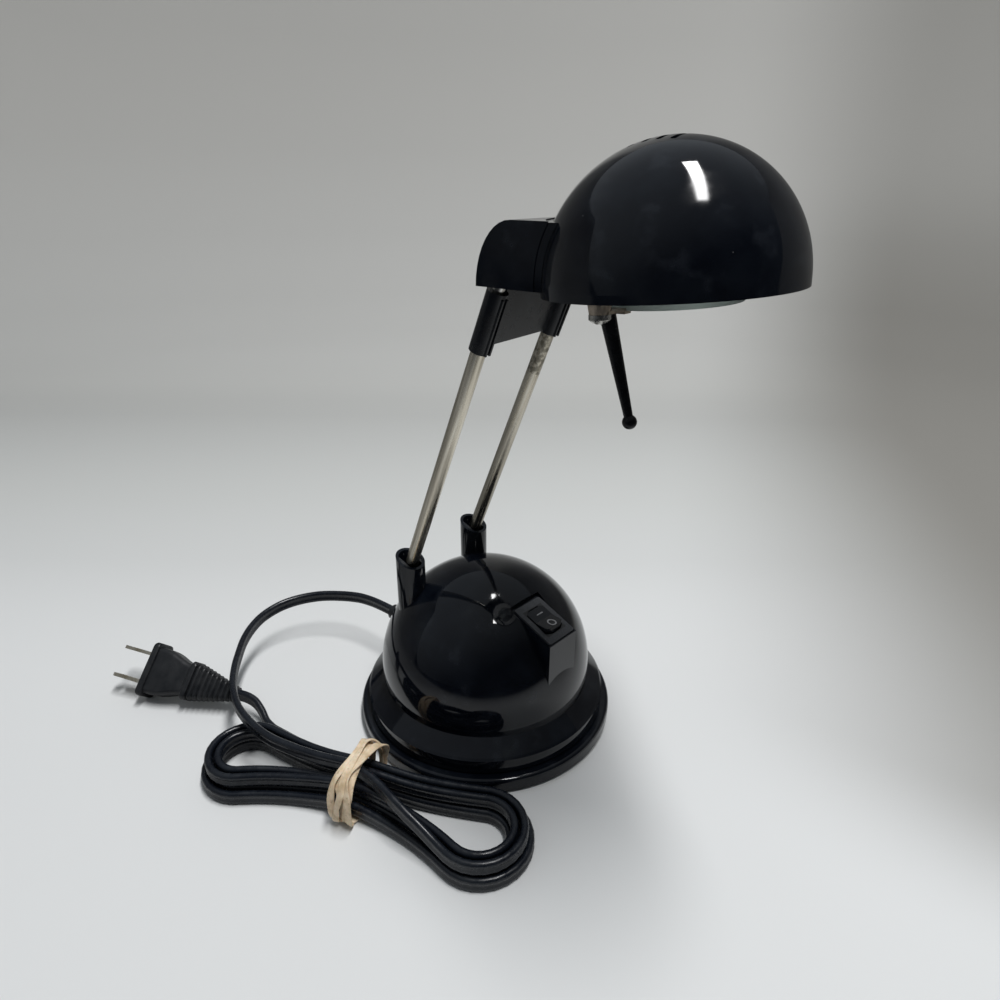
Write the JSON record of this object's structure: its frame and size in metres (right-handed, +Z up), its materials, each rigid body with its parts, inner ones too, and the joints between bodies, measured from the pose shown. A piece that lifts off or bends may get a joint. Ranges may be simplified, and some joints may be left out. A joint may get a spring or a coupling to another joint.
{
  "type": "desk lamp",
  "caption": "Small desk lamp with a glossy dome shade on two telescoping arms, a domed base with a rocker switch and a flat mains lead tied in a hank.",
  "frame": {"origin": "middle of the pad's underside on the table", "axes": "+Z up, the shade points to -Y, -X is the arm nearer the viewer in the picture"},
  "size_m": [0.1626, 0.2493, 0.2271],
  "materials": {
    "gloss_shell": "polished moulded black plastic",
    "block_plastic": "glossy moulded black plastic",
    "bracket_plastic": "semi-gloss moulded black plastic",
    "satin_plastic": "satin black plastic",
    "rocker_plastic": "semi-matte black plastic",
    "foam_pad": "fine closed-cell foam rubber",
    "zinc_steel": "zinc-plated",
    "core_iron": "laminated, varnished",
    "bobbin_nylon": "natural nylon",
    "winding": "taped copper winding",
    "brass_tab": "tinned brass",
    "brass_blade": "nickel-plated brass, worn",
    "lead_vinyl": "semi-matte vinyl",
    "band_rubber": "natural rubber",
    "tube_chrome": "worn, tarnished chrome",
    "rod_chrome": "chrome",
    "reflector_aluminium": "bright pressed aluminium",
    "socket_ceramic": "unglazed steatite",
    "bulb_glass": "clear quartz",
    "cover_glass": "clear float glass with greenish edge",
    "clip_steel": "dull spring steel",
    "nickel_screw": "nickel-plated"
  },
  "bodies": {
    "base": {"base_shell": "gloss_shell", "base_ring": "gloss_shell", "base_pad": "foam_pad", "base_screws": "zinc_steel", "transformer_core": "core_iron", "transformer_bobbin": "bobbin_nylon", "transformer_winding": "winding", "transformer_strap": "zinc_steel", "strap_screws": "zinc_steel", "switch_frame": "satin_plastic", "switch_terminals": "brass_tab", "post_insert_left": "satin_plastic", "post_insert_right": "satin_plastic", "arm_pins": "zinc_steel", "lead_bush": "lead_vinyl", "power_lead": "lead_vinyl", "lead_hank": "lead_vinyl", "plug_lead": "lead_vinyl", "plug_body": "lead_vinyl", "plug_blades": "brass_blade", "rubber_band": "band_rubber"},
    "rocker": {"switch_rocker": "rocker_plastic"},
    "arms": {"arm_tube_left": "tube_chrome", "arm_tube_right": "tube_chrome", "arm_knuckle_left": "tube_chrome", "arm_knuckle_right": "tube_chrome"},
    "carriage": {"arm_rod_left": "rod_chrome", "arm_rod_right": "rod_chrome", "arm_bracket": "bracket_plastic"},
    "head": {"shade": "gloss_shell", "head_block": "block_plastic", "head_pins": "zinc_steel", "head_screws": "zinc_steel", "reflector": "reflector_aluminium", "socket_bracket": "zinc_steel", "lamp_socket": "socket_ceramic", "halogen_bulb": "bulb_glass", "bulb_pins": "zinc_steel", "cover_glass": "cover_glass", "glass_clips": "clip_steel", "clip_screws": "nickel_screw", "shade_handle": "satin_plastic"}
  },
  "joints": [
    {"name": "arm_tilt", "type": "hinge", "parent": "base", "child": "arms", "pos_m": [0, 0.0228, 0.071], "axis": [1, 0, 0], "range_deg": [-30, 14]},
    {"name": "arm_extend", "type": "slide", "parent": "arms", "child": "carriage", "axis": [0, -0.3649, 0.9311], "range_m": [0, 0.08]},
    {"name": "head_tilt", "type": "hinge", "parent": "carriage", "child": "head", "pos_m": [0, -0.0239, 0.19018], "axis": [1, 0, 0], "range_deg": [-15, 45]},
    {"name": "switch_rock", "type": "hinge", "parent": "base", "child": "rocker", "pos_m": [-0.00393, -0.032, 0.05722], "axis": [0.9925, -0.1219, 0], "range_deg": [0, 18]}
  ]
}
